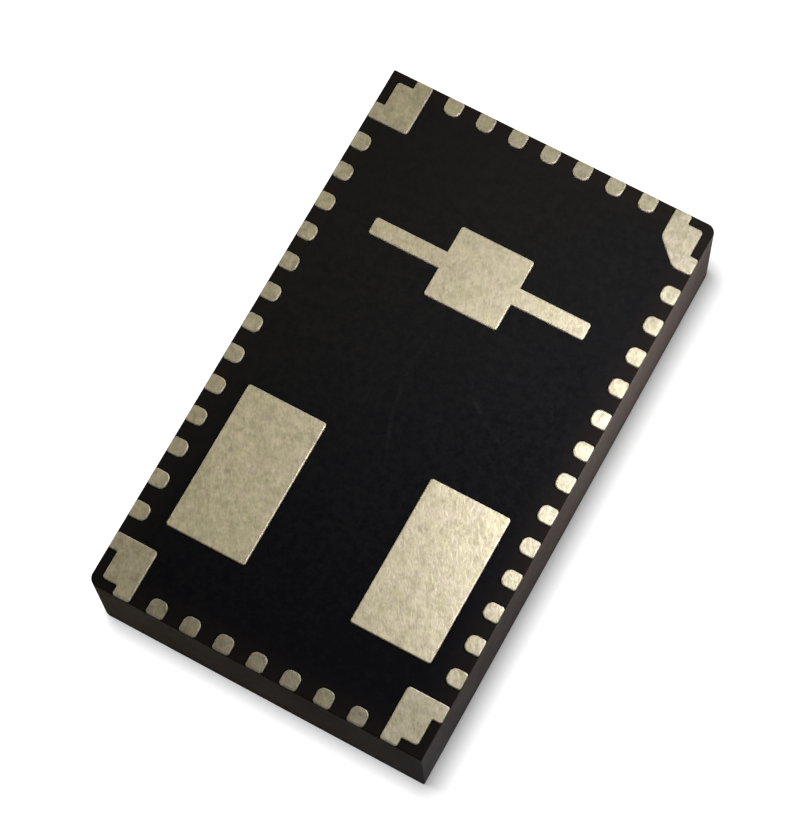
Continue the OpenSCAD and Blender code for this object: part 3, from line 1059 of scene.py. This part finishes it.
@dataclass(frozen=True)
class Rim:
    """The rolled edge of a land's face."""

    radius: float = 0.03
    segments: int = 4

    def roll(self, post: Workpiece, top: float) -> None:
        """Round a post's upper edge."""
        post.bevel(partial(is_at_height, height=top), self.radius, self.segments)


@dataclass(frozen=True)
class EdgeLand:
    """A land of a side's row: nearly round at its inner end, square at the body's edge."""

    width: float = 0.45
    length: float = 0.43
    gap: float = 0.02
    inner_radius: float = 0.17
    outer_radius: float = 0.07
    outer_share: float = 0.2
    inner_segments: int = 8
    outer_segments: int = 4

    def post(self, bottom: float, top: float, grow: float = 0.0) -> Workpiece:
        """Make the upright post in the land's own frame, where the body's edge is at 0 and +X leads out.

        Args:
            bottom: Its lower height.
            top: Its upper height.
            grow: How much wider it is, as a cutter for the groove round it.

        Returns:
            The post.
        """
        inner = -self.gap - self.length - grow
        outer = -self.gap + grow * self.outer_share
        half = self.width / 2 + grow
        post = Workpiece.block("edge_land", Vector((inner, -half, bottom)), Vector((outer, half, top)))
        post.bevel(upright_at(x=inner), self.inner_radius + grow, self.inner_segments)
        post.bevel(upright_at(x=outer), self.outer_radius, self.outer_segments)
        return post


@dataclass(frozen=True)
class CornerLand:
    """A corner land in the +X +Y corner: a plate with a tab out to each edge."""

    CHAMFER_GROWTH = 2 - math.sqrt(2)

    grid: LandGrid
    keyed: bool
    land_width: float = 0.45
    edge_gap: float = 0.02
    step: float = 0.26
    key_chamfer: float = 0.6
    inner_radius: float = 0.1
    key_radius: float = 0.12
    soft_radius: float = 0.08
    notch_radius: float = 0.04
    tab_radius: float = 0.06
    inner_segments: int = 5
    soft_segments: int = 4
    small_segments: int = 3
    outer_share: float = 0.2

    def post(self, bottom: float, top: float, grow: float = 0.0) -> Workpiece:
        """Make the upright post.

        Args:
            bottom: Its lower height.
            top: Its upper height.
            grow: How much wider it is, as a cutter for the groove round it.

        Returns:
            The post.
        """
        grid = self.grid
        low = Vector((
            (grid.short_lands + 1) / 2 * grid.pitch - self.land_width / 2 - grow,
            (grid.long_lands + 1) / 2 * grid.pitch - self.land_width / 2 - grow,
        ))
        step = Vector((grid.half_width - self.step + grow, grid.half_length - self.step + grow))
        out = Vector((grid.half_width - self.edge_gap, grid.half_length - self.edge_gap))
        out += Vector((grow, grow)) * self.outer_share
        tab = low + Vector((self.land_width, self.land_width)) + 2 * Vector((grow, grow))
        post = Workpiece.block("corner_land", Vector((*low, bottom)), Vector((*step, top)))
        if self.keyed:
            cut = self.key_chamfer + self.CHAMFER_GROWTH * grow
            post.bevel(upright_at(low.x, low.y), cut, 1)
            for end in ((low.x, low.y + cut), (low.x + cut, low.y)):
                post.bevel(upright_at(*end), self.key_radius, self.soft_segments)
        else:
            post.bevel(upright_at(low.x, low.y), self.inner_radius + grow, self.inner_segments)
        post.split(Vector((tab.x, 0, 0)), Vector((1, 0, 0)))
        post.split(Vector((0, tab.y, 0)), Vector((0, 1, 0)))
        post.extrude(
            lambda face: face.normal.y > STRAIGHT and face.calc_center_median().x < tab.x,
            Vector((0, out.y - step.y, 0)),
        )
        post.extrude(
            lambda face: face.normal.x > STRAIGHT and face.calc_center_median().y < tab.y,
            Vector((out.x - step.x, 0, 0)),
        )
        post.flatten()
        post.bevel(upright_at(step.x, step.y), self.soft_radius, self.soft_segments)
        for notch in ((tab.x, step.y), (step.x, tab.y)):
            post.bevel(upright_at(*notch), self.notch_radius, self.small_segments)
        post.bevel(
            lambda edge: upright_at(x=out.x)(edge) or upright_at(y=out.y)(edge),
            self.tab_radius, self.small_segments,
        )
        return post


@dataclass(frozen=True)
class PowerLand:
    """One of the two large rectangles, here the one at +X."""

    middle: Pair = (2.5, -3.4)
    width: float = 2.15
    length: float = 4.0
    corner_radius: float = 0.07
    corner_segments: int = 5

    def post(self, bottom: float, top: float, grow: float = 0.0) -> Workpiece:
        """Make the upright post.

        Args:
            bottom: Its lower height.
            top: Its upper height.
            grow: How much wider it is, as a cutter for the groove round it.

        Returns:
            The post.
        """
        half = Vector((self.width / 2 + grow, self.length / 2 + grow))
        low, high = Vector(self.middle) - half, Vector(self.middle) + half
        post = Workpiece.block("power_land", Vector((*low, bottom)), Vector((*high, top)))
        post.bevel(is_upright, self.corner_radius + grow, self.corner_segments)
        return post


@dataclass(frozen=True)
class ThermalLand:
    """The square in line with lands 4 and 34, with an arm towards each of them."""

    middle: float = 3.6
    side: float = 2.0
    span: float = 5.92
    arm_width: float = 0.47
    corner_radius: float = 0.07
    corner_segments: int = 5

    def post(self, bottom: float, top: float, grow: float = 0.0) -> Workpiece:
        """Make the upright post.

        Args:
            bottom: Its lower height.
            top: Its upper height.
            grow: How much wider it is, as a cutter for the groove round it.

        Returns:
            The post.
        """
        half = self.side / 2 + grow
        arm = self.arm_width / 2 + grow
        low, high = Vector((-half, self.middle - half)), Vector((half, self.middle + half))
        post = Workpiece.block("thermal_land", Vector((*low, bottom)), Vector((*high, top)))
        for edge in (-arm, arm):
            post.split(Vector((0, self.middle + edge, 0)), Vector((0, 1, 0)))
        for way in (-1, 1):
            post.extrude(
                lambda face, way=way: face.normal.x * way > STRAIGHT
                and abs(face.calc_center_median().y - self.middle) < arm,
                Vector((way * (self.span / 2 + grow - half), 0, 0)),
            )
        post.flatten()
        tip = self.span / 2 + grow
        post.bevel(
            lambda edge: is_upright(edge) and (
                abs(abs(edge.verts[0].co.x) - tip) < NEAR
                or abs(abs(edge.verts[0].co.y - self.middle) - half) < NEAR
            ),
            self.corner_radius + grow, self.corner_segments,
        )
        return post


@dataclass
class Leadframe:
    """The copper: 47 lands of full thickness, and the etched sheets and fingers that join or anchor them."""

    grid: LandGrid
    top: float
    rim: Rim = field(default_factory=Rim)
    edge: EdgeLand = field(default_factory=EdgeLand)
    power: PowerLand = field(default_factory=PowerLand)
    thermal: ThermalLand = field(default_factory=ThermalLand)
    thickness: float = 0.2
    etched: float = 0.1
    plated_depth: float = 0.08
    etched_rim: float = 0.15
    etched_gap: float = 0.25
    etched_inset: float = 0.2
    finger_width: float = 0.4
    finger_gap: float = 0.3
    neck_width: float = 1.3
    ledge: float = 0.15
    arm_lap: float = 0.1
    sheet_lap: float = 1.0
    paddle_rim: Pair = (0.3, 0.25)
    smooth: float = 32.0
    phase_lands: tuple[int, ...] = (10, 11, 12, 13, 14, 15, 16)
    ground_lands: tuple[int, ...] = (17, 18, 19, 20, 21)
    output_lands: tuple[int, ...] = (22, 23, 24, 25, 26, 27, 28)
    input_lands: tuple[int, ...] = (29, 30, 31)
    arm_lands: tuple[int, ...] = (4, 34)
    own_lands: tuple[int, ...] = (1, 2, 3, 5, 6, 7, 8, 9, 32, 33, 35, 36, 37, 38, 39, 40, 41, 42, 43, 44)

    @property
    def bottom(self) -> float:
        """Give the height of the copper's inner side."""
        return self.top - self.thickness

    @property
    def sheet_top(self) -> float:
        """Give the height to which the etched copper reaches."""
        return self.bottom + self.etched

    def posts(self, bottom: float, top: float, grow: float, rolled: bool) -> dict[int | LargeLand, Workpiece]:
        """Make one post for every land, each kind modelled once and copied into its places.

        Args:
            bottom: The posts' lower height.
            top: Their upper height.
            grow: How much wider they are than the lands.
            rolled: Whether their rims are rolled.

        Returns:
            The post of each land, by its number or name.
        """
        masters = {
            "edge": self.edge.post(bottom, top, grow),
            "corner": CornerLand(self.grid, keyed=False).post(bottom, top, grow),
            "keyed": CornerLand(self.grid, keyed=True).post(bottom, top, grow),
            "power": self.power.post(bottom, top, grow),
            "thermal": self.thermal.post(bottom, top, grow),
        }
        if rolled:
            for master in masters.values():
                self.rim.roll(master, top)
        made: dict[int | LargeLand, Workpiece] = {
            LargeLand.THERMAL: masters["thermal"].copy("thermal_land"),
            LargeLand.RIGHT_POWER: masters["power"].copy("right_power_land"),
            LargeLand.LEFT_POWER: masters["power"].copy("left_power_land"),
        }
        made[LargeLand.LEFT_POWER].place(flip=Vector((-1, 1, 1)))
        flips = dict(zip(self.grid.corners, ((1, 1), (1, -1), (-1, -1), (-1, 1))))
        for number in range(1, 2 * self.grid.half_turn + 1):
            if number in flips:
                kind = "keyed" if number == self.grid.corners[0] else "corner"
                post = masters[kind].copy(f"corner_{number:02d}")
                post.place(flip=Vector((*flips[number], 1)))
            else:
                side = self.grid.side(number)
                spot = self.grid.turned(side, self.grid.reach(side), self.grid.along(number))
                post = masters["edge"].copy(f"land_{number:02d}")
                post.place(turn=-90 * side, shift=Vector((*spot, 0)))
            made[number] = post
        for master in masters.values():
            bpy.data.meshes.remove(master.thing.data)
        return made

    def finger(self, number: int, node: str) -> Rect:
        """Give a terminal's etched finger, which ends where its CAD node does.

        Args:
            number: The land's number.
            node: The terminal's CAD node.

        Returns:
            The finger's lowest and highest corner.
        """
        low, high = box_mm(node)
        side = self.grid.side(number)
        tip = {Side.RIGHT: low.x, Side.LOWER: -high.y, Side.LEFT: -high.x, Side.UPPER: low.y}[side]
        return self.strip(number, tip)

    def strip(self, number: int, tip: float) -> Rect:
        """Give an etched strip from a tip to the middle of an edge land."""
        root = self.grid.reach(self.grid.side(number)) - self.edge.gap - self.edge.length / 2
        return self.grid.strip(number, tip, root, self.finger_width)

    def corner_ledge(self, number: int) -> Rect:
        """Give the etched ledge that anchors a corner land which stands alone, at +Y.

        Args:
            number: The land's number.

        Returns:
            The ledge's lowest and highest corner.
        """
        grid = self.grid
        x = (grid.short_lands + 1) / 2 * grid.pitch - self.edge.width / 2 - self.ledge
        y = (grid.long_lands + 1) / 2 * grid.pitch - self.edge.width / 2 - self.ledge
        far_x, far_y = grid.half_width - self.etched_inset, grid.half_length - self.etched_inset
        return ((x, y), (far_x, far_y)) if number == grid.corners[0] else ((-far_x, y), (-x, far_y))

    def sheets(self) -> dict[str, list[Rect]]:
        """Lay out the etched sheets under the lands that share a piece of copper.

        Returns:
            Each such piece's rectangles, each by its lowest and highest corner.
        """
        grid, pitch = self.grid, self.grid.pitch
        sheet_x, sheet_y = grid.half_width - self.etched_inset, grid.half_length - self.etched_inset
        die_low, die_high = box_mm("converter_die")
        rim_x, rim_y = self.paddle_rim
        paddle = (die_low.x - rim_x, die_low.y - rim_y), (die_high.x + rim_x, die_high.y + rim_y)
        inner_x = self.power.middle[0] - self.power.width / 2 - self.etched_rim
        top_y = self.power.middle[1] + self.power.length / 2 + self.etched_rim
        low_y = self.power.middle[1] - self.power.length / 2 - self.etched_rim
        bond_y = paddle[0][1] - self.finger_gap
        neck_x = inner_x + self.neck_width
        spine_x = inner_x - self.etched_gap
        input_y = top_y + self.etched_gap
        input_top = pitch + self.finger_width
        last = grid.short_lands // 2
        low_x = last * pitch - self.edge.width / 2
        bar_x = (last - 1) * pitch + self.edge.width / 2
        bar_y = low_y - 2 * self.etched_gap
        arm_tip = self.thermal.span / 2 - self.arm_lap
        return {
            "ground_paddle": [paddle, *(self.strip(number, arm_tip) for number in self.arm_lands)],
            "phase_land": [
                ((inner_x, low_y), (sheet_x, top_y)),
                ((low_x, -sheet_y), (sheet_x, low_y + self.sheet_lap)),
                ((inner_x, top_y - self.sheet_lap), (neck_x, bond_y)),
            ],
            "output_land": [
                ((-sheet_x, low_y), (-inner_x, top_y)),
                ((-sheet_x, -sheet_y), (-low_x, low_y + self.sheet_lap)),
            ],
            "power_ground_land": [
                ((-bar_x, -sheet_y), (bar_x, bar_y)),
                ((-spine_x, -sheet_y), (spine_x, bond_y)),
            ],
            "input_land": [
                ((-sheet_x, input_y), (-inner_x, input_top)),
                ((-neck_x, input_y), (-inner_x, bond_y)),
            ],
        }

    def build(self, tin: bpy.types.Material, copper: bpy.types.Material) -> dict[str, Workpiece]:
        """Model every copper piece on the bench.

        Args:
            tin: The finish of the lands.
            copper: The finish of what the moulding hides.

        Returns:
            The unfinished piece of each CAD node.
        """
        posts = self.posts(self.bottom, self.top, 0.0, rolled=True)
        lands: dict[str, list[int | LargeLand]] = {
            "ground_paddle": [LargeLand.THERMAL, *self.arm_lands],
            "phase_land": [LargeLand.RIGHT_POWER, *self.phase_lands],
            "output_land": [LargeLand.LEFT_POWER, *self.output_lands],
            "power_ground_land": list(self.ground_lands),
            "input_land": list(self.input_lands),
        }
        sheets = self.sheets()
        for number in self.own_lands:
            node = f"terminal_{number:02d}"
            lands[node] = [number]
            ledge = number in self.grid.corners
            sheets[node] = [self.corner_ledge(number) if ledge else self.finger(number, node)]
        pieces = {}
        for node, keys in lands.items():
            low, high = sheets[node][0]
            piece = Workpiece.block(
                f"plated_{node}", Vector((*low, self.bottom)), Vector((*high, self.sheet_top))
            )
            flats = [
                Workpiece.block("sheet", Vector((*a, self.bottom)), Vector((*b, self.sheet_top)))
                for a, b in sheets[node][1:]
            ]
            piece.combine(Join.ADD, [*flats, *(posts[key] for key in keys)])
            plate_line = self.top - self.plated_depth
            piece.split(Vector((0, 0, plate_line)), Vector((0, 0, 1)))
            piece.thing.data.materials.append(tin)
            piece.thing.data.materials.append(copper)
            for polygon in piece.thing.data.polygons:
                polygon.material_index = int(polygon.center.z < plate_line)
            pieces[node] = piece
        return pieces

    def finish(self, pieces: dict[str, Workpiece]) -> None:
        """Bring every copper piece to its place."""
        for node, piece in pieces.items():
            piece.finish(node, "plated_land", self.smooth)


@dataclass
class MouldedBody:
    """The black block: sawn square, with two worn upright corners and a fine groove round every land."""

    low: Vector
    high: Vector
    worn_radius: float = 0.25
    sharp_radius: float = 0.04
    edge_radius: float = 0.03
    worn_segments: int = 8
    fine_segments: int = 3
    groove_width: float = 0.026
    groove_depth: float = 0.035
    smooth: float = 32.0

    def build(self, leadframe: Leadframe, copper: dict[str, Workpiece], compound: bpy.types.Material) -> None:
        """Model the block and cut the pockets that the copper fills.

        Args:
            leadframe: Gives the cutters for the grooves.
            copper: The copper pieces, which copies are cut from the block.
            compound: The block's finish.
        """
        block = Workpiece.block("moulded_block", self.low, self.high)
        worn = [(self.high.x, self.high.y), (self.low.x, self.low.y)]
        sharp = [(self.high.x, self.low.y), (self.low.x, self.high.y)]
        for corner in worn:
            block.bevel(upright_at(*corner), self.worn_radius, self.worn_segments)
        for corner in sharp:
            block.bevel(upright_at(*corner), self.sharp_radius, self.fine_segments)
        for height in (self.low.z, self.high.z):
            rim = partial(is_at_height, height=height)
            block.bevel(rim, self.edge_radius, self.fine_segments)
        groove_foot = self.high.z - self.groove_depth
        grooves = leadframe.posts(groove_foot, leadframe.top, self.groove_width, rolled=False)
        pockets = [piece.copy("pocket") for piece in copper.values()]
        block.combine(Join.CUT, [*grooves.values(), *pockets])
        block.thing.data.materials.clear()
        block.thing.data.materials.append(compound)
        for polygon in block.thing.data.polygons:
            polygon.material_index = 0
        block.finish("mould_body", "mould_compound", self.smooth)


class InnerParts:
    """What the moulding hides: the CAD nodes keep their shape and get their finishes."""

    CORE = Plain(
        "pressed_powder", (0.045, 0.045, 0.048), (0.12, 0.12, 0.125),
        metallic=0.35, smoothest=0.45, roughest=0.7, coarse=3.0, fine=16.0, relief=0.006,
    )
    WINDING = Plain(
        "enamelled_copper", (0.33, 0.12, 0.045), (0.50, 0.20, 0.08),
        metallic=1.0, smoothest=0.2, roughest=0.35, coarse=1.5, fine=8.0, relief=0.001,
    )
    CLIP = Plain(
        "clip_tin", (0.46, 0.45, 0.42), (0.66, 0.65, 0.61),
        metallic=1.0, smoothest=0.3, roughest=0.5, coarse=2.0, fine=10.0, relief=0.002,
    )
    DIE = Plain(
        "silicon", (0.10, 0.11, 0.14), (0.17, 0.18, 0.23),
        metallic=0.6, smoothest=0.12, roughest=0.25, coarse=1.0, fine=12.0, relief=0.0005,
    )
    ATTACH = Plain(
        "joint_solder", (0.36, 0.36, 0.37), (0.56, 0.56, 0.57),
        metallic=1.0, smoothest=0.35, roughest=0.55, coarse=4.0, fine=14.0, relief=0.002,
    )
    GOLD = Plain(
        "bond_gold", (0.72, 0.48, 0.16), (0.90, 0.66, 0.28),
        metallic=1.0, smoothest=0.18, roughest=0.3, coarse=6.0, fine=30.0, relief=0.0003,
    )
    DRESSED = {
        "inductor_core": (CORE, "powder_core"),
        "inductor_winding": (WINDING, "copper_wire"),
        "inductor_phase_clip": (CLIP, "tinned_clip"),
        "inductor_output_clip": (CLIP, "tinned_clip"),
        "converter_die": (DIE, "die_silicon"),
        "die_attach": (ATTACH, "attach_solder"),
        "solder_joints": (ATTACH, "attach_solder"),
        "signal_bond_wires": (GOLD, "gold_wire"),
        "power_bond_wires": (GOLD, "gold_wire"),
    }
    CHIPS = ("_resistor", "_capacitor", "_capacitor_1", "_capacitor_2")
    CERAMIC = (0.36, 0.25, 0.16), (0.48, 0.35, 0.24)
    RESISTIVE = (0.035, 0.04, 0.045), (0.09, 0.10, 0.11)

    @staticmethod
    def dress(node: str, material: bpy.types.Material, slot: str) -> None:
        """Give a CAD node its finish.

        Args:
            node: The node's name.
            material: The finish.
            slot: The record's material slot; not used.
        """
        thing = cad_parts[node]
        for place in thing.material_slots:
            place.material = material
        if not thing.material_slots:
            thing.data.materials.append(material)
        log.info("%s: dressed in %s", node, material.name)

    def build(self, effects: Effects) -> None:
        """Dress the inductor, the die with its wires and joints, and the chip parts.

        Args:
            effects: The shared effects.
        """
        made = {}
        for node, (finish, slot) in self.DRESSED.items():
            if finish.name not in made:
                made[finish.name] = finish.make(effects)
            self.dress(node, made[finish.name], slot)
        for node in sorted(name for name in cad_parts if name.endswith(self.CHIPS)):
            low, high = box_mm(node)
            turned = high.y - low.y > high.x - low.x
            ceramic = "capacitor" in node
            body, light = self.CERAMIC if ceramic else self.RESISTIVE
            finish = ChipCeramic(f"{node}_finish", body, light, (low + high) / 2, turned)
            self.dress(node, finish.make(effects), "capacitor_ceramic" if ceramic else "resistor_ceramic")


@dataclass(frozen=True)
class Lamp:
    """A square soft lamp."""

    name: str
    place: Point
    aim: Point
    size: float
    radiance: float
    colour: Colour = (1.0, 1.0, 1.0)
    for_table: bool = False

    def hang(self, table: bpy.types.Object) -> None:
        """Hang the lamp at its place, unseen by the camera.

        Args:
            table: The table, which one lamp lights alone and the others spare.
        """
        light = bpy.data.lights.new(self.name, "AREA")
        light.size = self.size * METRES
        light.energy = self.radiance * math.pi * light.size ** 2
        light.color = self.colour
        thing = bpy.data.objects.new(self.name, light)
        thing.location = Vector(self.place) * METRES
        thing.rotation_euler = (Vector(self.aim) - Vector(self.place)).to_track_quat("-Z", "Y").to_euler()
        thing.visible_camera = False
        bpy.context.scene.collection.objects.link(thing)
        lit = bpy.data.collections.new(f"{self.name}_reach")
        lit.objects.link(table)
        thing.light_linking.receiver_collection = lit
        lit.collection_objects[0].light_linking.link_state = "INCLUDE" if self.for_table else "EXCLUDE"


@dataclass
class Studio:
    """A white table, soft lamps and the camera above the lands."""

    camera_place: Point = (12.678, -19.202, 70.906)
    camera_look: Point = (-0.17606, 0.26132, -0.94906)
    camera_up: Point = (-0.45052, 0.83583, 0.31372)
    lens: float = 129.24
    sight: Pair = (0.001, 100.0)
    table_side: float = 3000.0
    table_white: float = 0.8
    table_bounce: float = 0.04
    table_glow: float = 0.3
    glow_reach: Pair = (30.0, 160.0)
    table_drop: float = 0.002
    ambient: float = 0.025
    sheen: float = 0.08
    lamps: tuple[Lamp, ...] = (
        Lamp("near_lamp", (9.0, 6.9, 18.0), (0, 3.4, 2.8), 6, 22.6, (0.99, 1.0, 1.22)),
        Lamp("low_lamp", (9.0, 1.4, 10.0), (0, 0.7, 2.8), 6, 10.6, (0.99, 1.0, 1.22)),
        Lamp("left_lamp", (-50.0, 0.0, 30.0), (0, 0, 2.8), 20, 1.8, (1.06, 1.0, 0.86)),
        Lamp("back_lamp", (-30.0, 30.0, 40.0), (0, 0, 2.8), 20, 2.7, (1.06, 1.0, 0.86)),
        Lamp("top_lamp", (-12.0, 9.0, 60.0), (0, 0, 2.8), 20, 1.2, (1.06, 1.0, 0.86)),
        Lamp("front_fill", (-6.0, -50.0, 9.0), (0, 0, 1.4), 20, 1.0, (1.05, 1.0, 0.95)),
        Lamp("left_fill", (-50.0, -6.0, 9.0), (0, 0, 1.4), 20, 4.5, (0.88, 1.0, 1.14)),
        Lamp("back_fill", (6.0, 50.0, 9.0), (0, 0, 1.4), 20, 4.5, (0.88, 1.0, 1.14)),
        Lamp("under_fill", (8.0, -8.0, -50.0), (0, 0, 0), 20, 5.0, (0.88, 1.0, 1.14)),
        Lamp("table_lamp", (-12.6, 1.4, 119.0), (0, 0, 0), 36, 45.0, for_table=True),
    )

    def _seen(self, tree: Tree, gloss: float = 1.0) -> Socket:
        """Tell what is seen from what only lights.

        Args:
            tree: The table's or the world's tree.
            gloss: The share that gloss and glass show.

        Returns:
            1 for what the camera sees directly, that share in gloss or through glass, and 0 for the rest.
        """
        path = tree.add("ShaderNodeLightPath").outputs
        bent = tree.math("MAXIMUM", path["Is Glossy Ray"], path["Is Transmission Ray"])
        return tree.math("MAXIMUM", path["Is Camera Ray"], tree.math("MULTIPLY", bent, gloss))

    def table(self) -> bpy.types.Object:
        """Lay the table under the module: white, darker in its shadow, and clear when seen from below.

        Returns:
            The table.
        """
        bpy.ops.object.select_all(action="DESELECT")
        drop = -self.table_drop * METRES
        bpy.ops.mesh.primitive_plane_add(size=self.table_side * METRES, location=(0, 0, drop))
        table = bpy.context.active_object
        table.name = "table"
        material = bpy.data.materials.new("white_table")
        material.use_nodes = True
        tree = Tree(material.node_tree)
        seen = self._seen(tree)
        away = tree.add("ShaderNodeVectorMath", {0: tree.millimetres()}, operation="LENGTH").outputs["Value"]
        glow = tree.math("MULTIPLY", seen, tree.spread(away, *self.glow_reach, self.table_glow, 1.0))
        bounce, white = ((shade,) * 3 for shade in (self.table_bounce, self.table_white))
        matte = tree.add("ShaderNodeBsdfDiffuse", {"Color": tree.blend(seen, bounce, white)})
        light = tree.add("ShaderNodeEmission", {"Strength": glow})
        both = tree.add("ShaderNodeAddShader", {0: matte.outputs[0], 1: light.outputs[0]})
        below = tree.add("ShaderNodeNewGeometry").outputs["Backfacing"]
        shadow_ray = tree.add("ShaderNodeLightPath").outputs["Is Shadow Ray"]
        clear = tree.add("ShaderNodeBsdfTransparent").outputs[0]
        share = tree.math("MAXIMUM", below, shadow_ray)
        mixed = tree.add("ShaderNodeMixShader", {0: share, 1: both.outputs[0], 2: clear})
        tree.add("ShaderNodeOutputMaterial", {"Surface": mixed.outputs[0]})
        table.data.materials.append(material)
        return table

    def world(self) -> None:
        """Make the surroundings white to the camera and dim to the module."""
        world = bpy.data.worlds.new("surroundings")
        world.use_nodes = True
        bpy.context.scene.world = world
        tree = Tree(world.node_tree)
        strength = tree.math("MAXIMUM", self._seen(tree, self.sheen), self.ambient)
        white = (1.0, 1.0, 1.0, 1.0)
        back = tree.add("ShaderNodeBackground", {"Strength": strength}, {"Color": white})
        tree.add("ShaderNodeOutputWorld", {"Surface": back.outputs[0]})

    def camera(self) -> None:
        """Set up the camera at the photograph's place."""
        look, up = Vector(self.camera_look).normalized(), Vector(self.camera_up).normalized()
        right = look.cross(up)
        data = bpy.data.cameras.new("camera")
        data.lens = self.lens
        data.clip_start, data.clip_end = self.sight
        camera = bpy.data.objects.new("camera", data)
        camera.matrix_world = Matrix.Translation(Vector(self.camera_place) * METRES) @ Matrix((
            (right.x, up.x, -look.x), (right.y, up.y, -look.y), (right.z, up.z, -look.z),
        )).to_4x4()
        bpy.context.scene.collection.objects.link(camera)
        bpy.context.scene.camera = camera

    def build(self) -> None:
        """Set up the whole studio."""
        bpy.context.scene.view_settings.view_transform = "Standard"
        table = self.table()
        self.world()
        for lamp in self.lamps:
            lamp.hang(table)
        self.camera()


def main() -> None:
    """Build the module and the studio."""
    logging.basicConfig(level=logging.INFO, format="%(message)s")
    effects = Effects()
    body_low, body_high = box_mm("mould_body")
    grid = LandGrid(half_width=body_high.x, half_length=body_high.y)
    leadframe = Leadframe(grid, top=CAD_BOX[1][2] / METRES)
    tin = MatteTin(grid.half_width, grid.half_length).make(effects)
    compound = Moulding(grid.half_width, grid.half_length).make(effects)
    copper = leadframe.build(tin, RolledCopper().make(effects))
    MouldedBody(body_low, body_high).build(leadframe, copper, compound)
    leadframe.finish(copper)
    InnerParts().build(effects)
    Studio().build()


if __name__ == "__main__":
    main()
